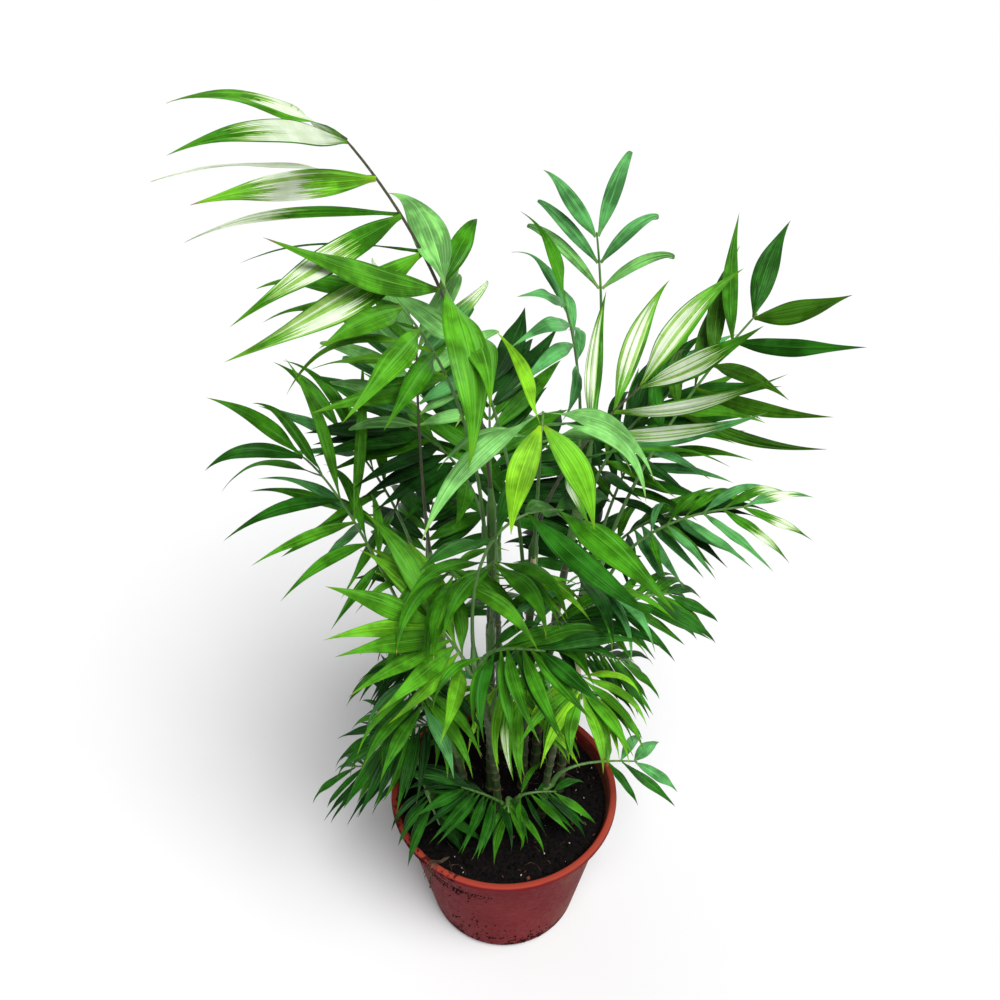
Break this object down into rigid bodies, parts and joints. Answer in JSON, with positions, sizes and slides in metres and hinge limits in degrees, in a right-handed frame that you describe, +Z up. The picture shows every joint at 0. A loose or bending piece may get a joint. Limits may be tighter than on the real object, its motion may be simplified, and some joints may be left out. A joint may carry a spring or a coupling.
{
  "type": "potted parlour palm",
  "caption": "Bushy indoor palm of slender canes with arching feather-shaped fronds, rooted in a round tapered terracotta-coloured plastic nursery pot filled with dark soil.",
  "frame": {"origin": "centre of the pot's flat underside", "axes": "+Z up, the pictured front of the plant towards -Y, its left-hand side in the picture towards -X"},
  "size_m": [0.3651, 0.3333, 0.6822],
  "materials": {
    "pot": "moulded plastic, slightly glossy lip",
    "soil": "damp potting mix",
    "cane": "smooth ringed cane",
    "frond": "satin leaf"
  },
  "bodies": {
    "root": {"pot": "pot", "soil": "soil", "cane_1": "cane", "cane_2": "cane", "cane_3": "cane", "cane_4": "cane", "cane_5": "cane", "cane_6": "cane", "cane_7": "cane", "cane_8": "cane", "cane_9": "cane", "cane_10": "cane", "cane_11": "cane", "cane_12": "cane", "cane_13": "cane", "upper_frond_1": "frond", "upper_frond_2": "frond", "upper_frond_3": "frond", "upper_frond_4": "frond", "upper_frond_5": "frond", "upper_frond_6": "frond", "upper_frond_7": "frond", "upper_frond_8": "frond", "upper_frond_9": "frond", "upper_frond_10": "frond", "upper_frond_11": "frond", "upper_frond_12": "frond", "middle_frond_1": "frond", "middle_frond_2": "frond", "middle_frond_3": "frond", "middle_frond_4": "frond", "middle_frond_5": "frond", "middle_frond_6": "frond", "middle_frond_7": "frond", "middle_frond_8": "frond", "middle_frond_9": "frond", "middle_frond_10": "frond", "middle_frond_11": "frond", "middle_frond_12": "frond", "middle_frond_13": "frond", "middle_frond_14": "frond", "middle_frond_15": "frond", "upper_frond_13": "frond", "middle_frond_16": "frond", "middle_frond_17": "frond", "middle_frond_18": "frond", "middle_frond_19": "frond", "middle_frond_20": "frond", "lower_frond_1": "frond", "lower_frond_2": "frond", "lower_frond_3": "frond", "lower_frond_4": "frond", "lower_frond_5": "frond", "lower_frond_6": "frond", "lower_frond_7": "frond", "lower_frond_8": "frond", "lower_frond_9": "frond", "lower_frond_10": "frond", "lower_frond_11": "frond", "lower_frond_12": "frond"}
  },
  "joints": []
}
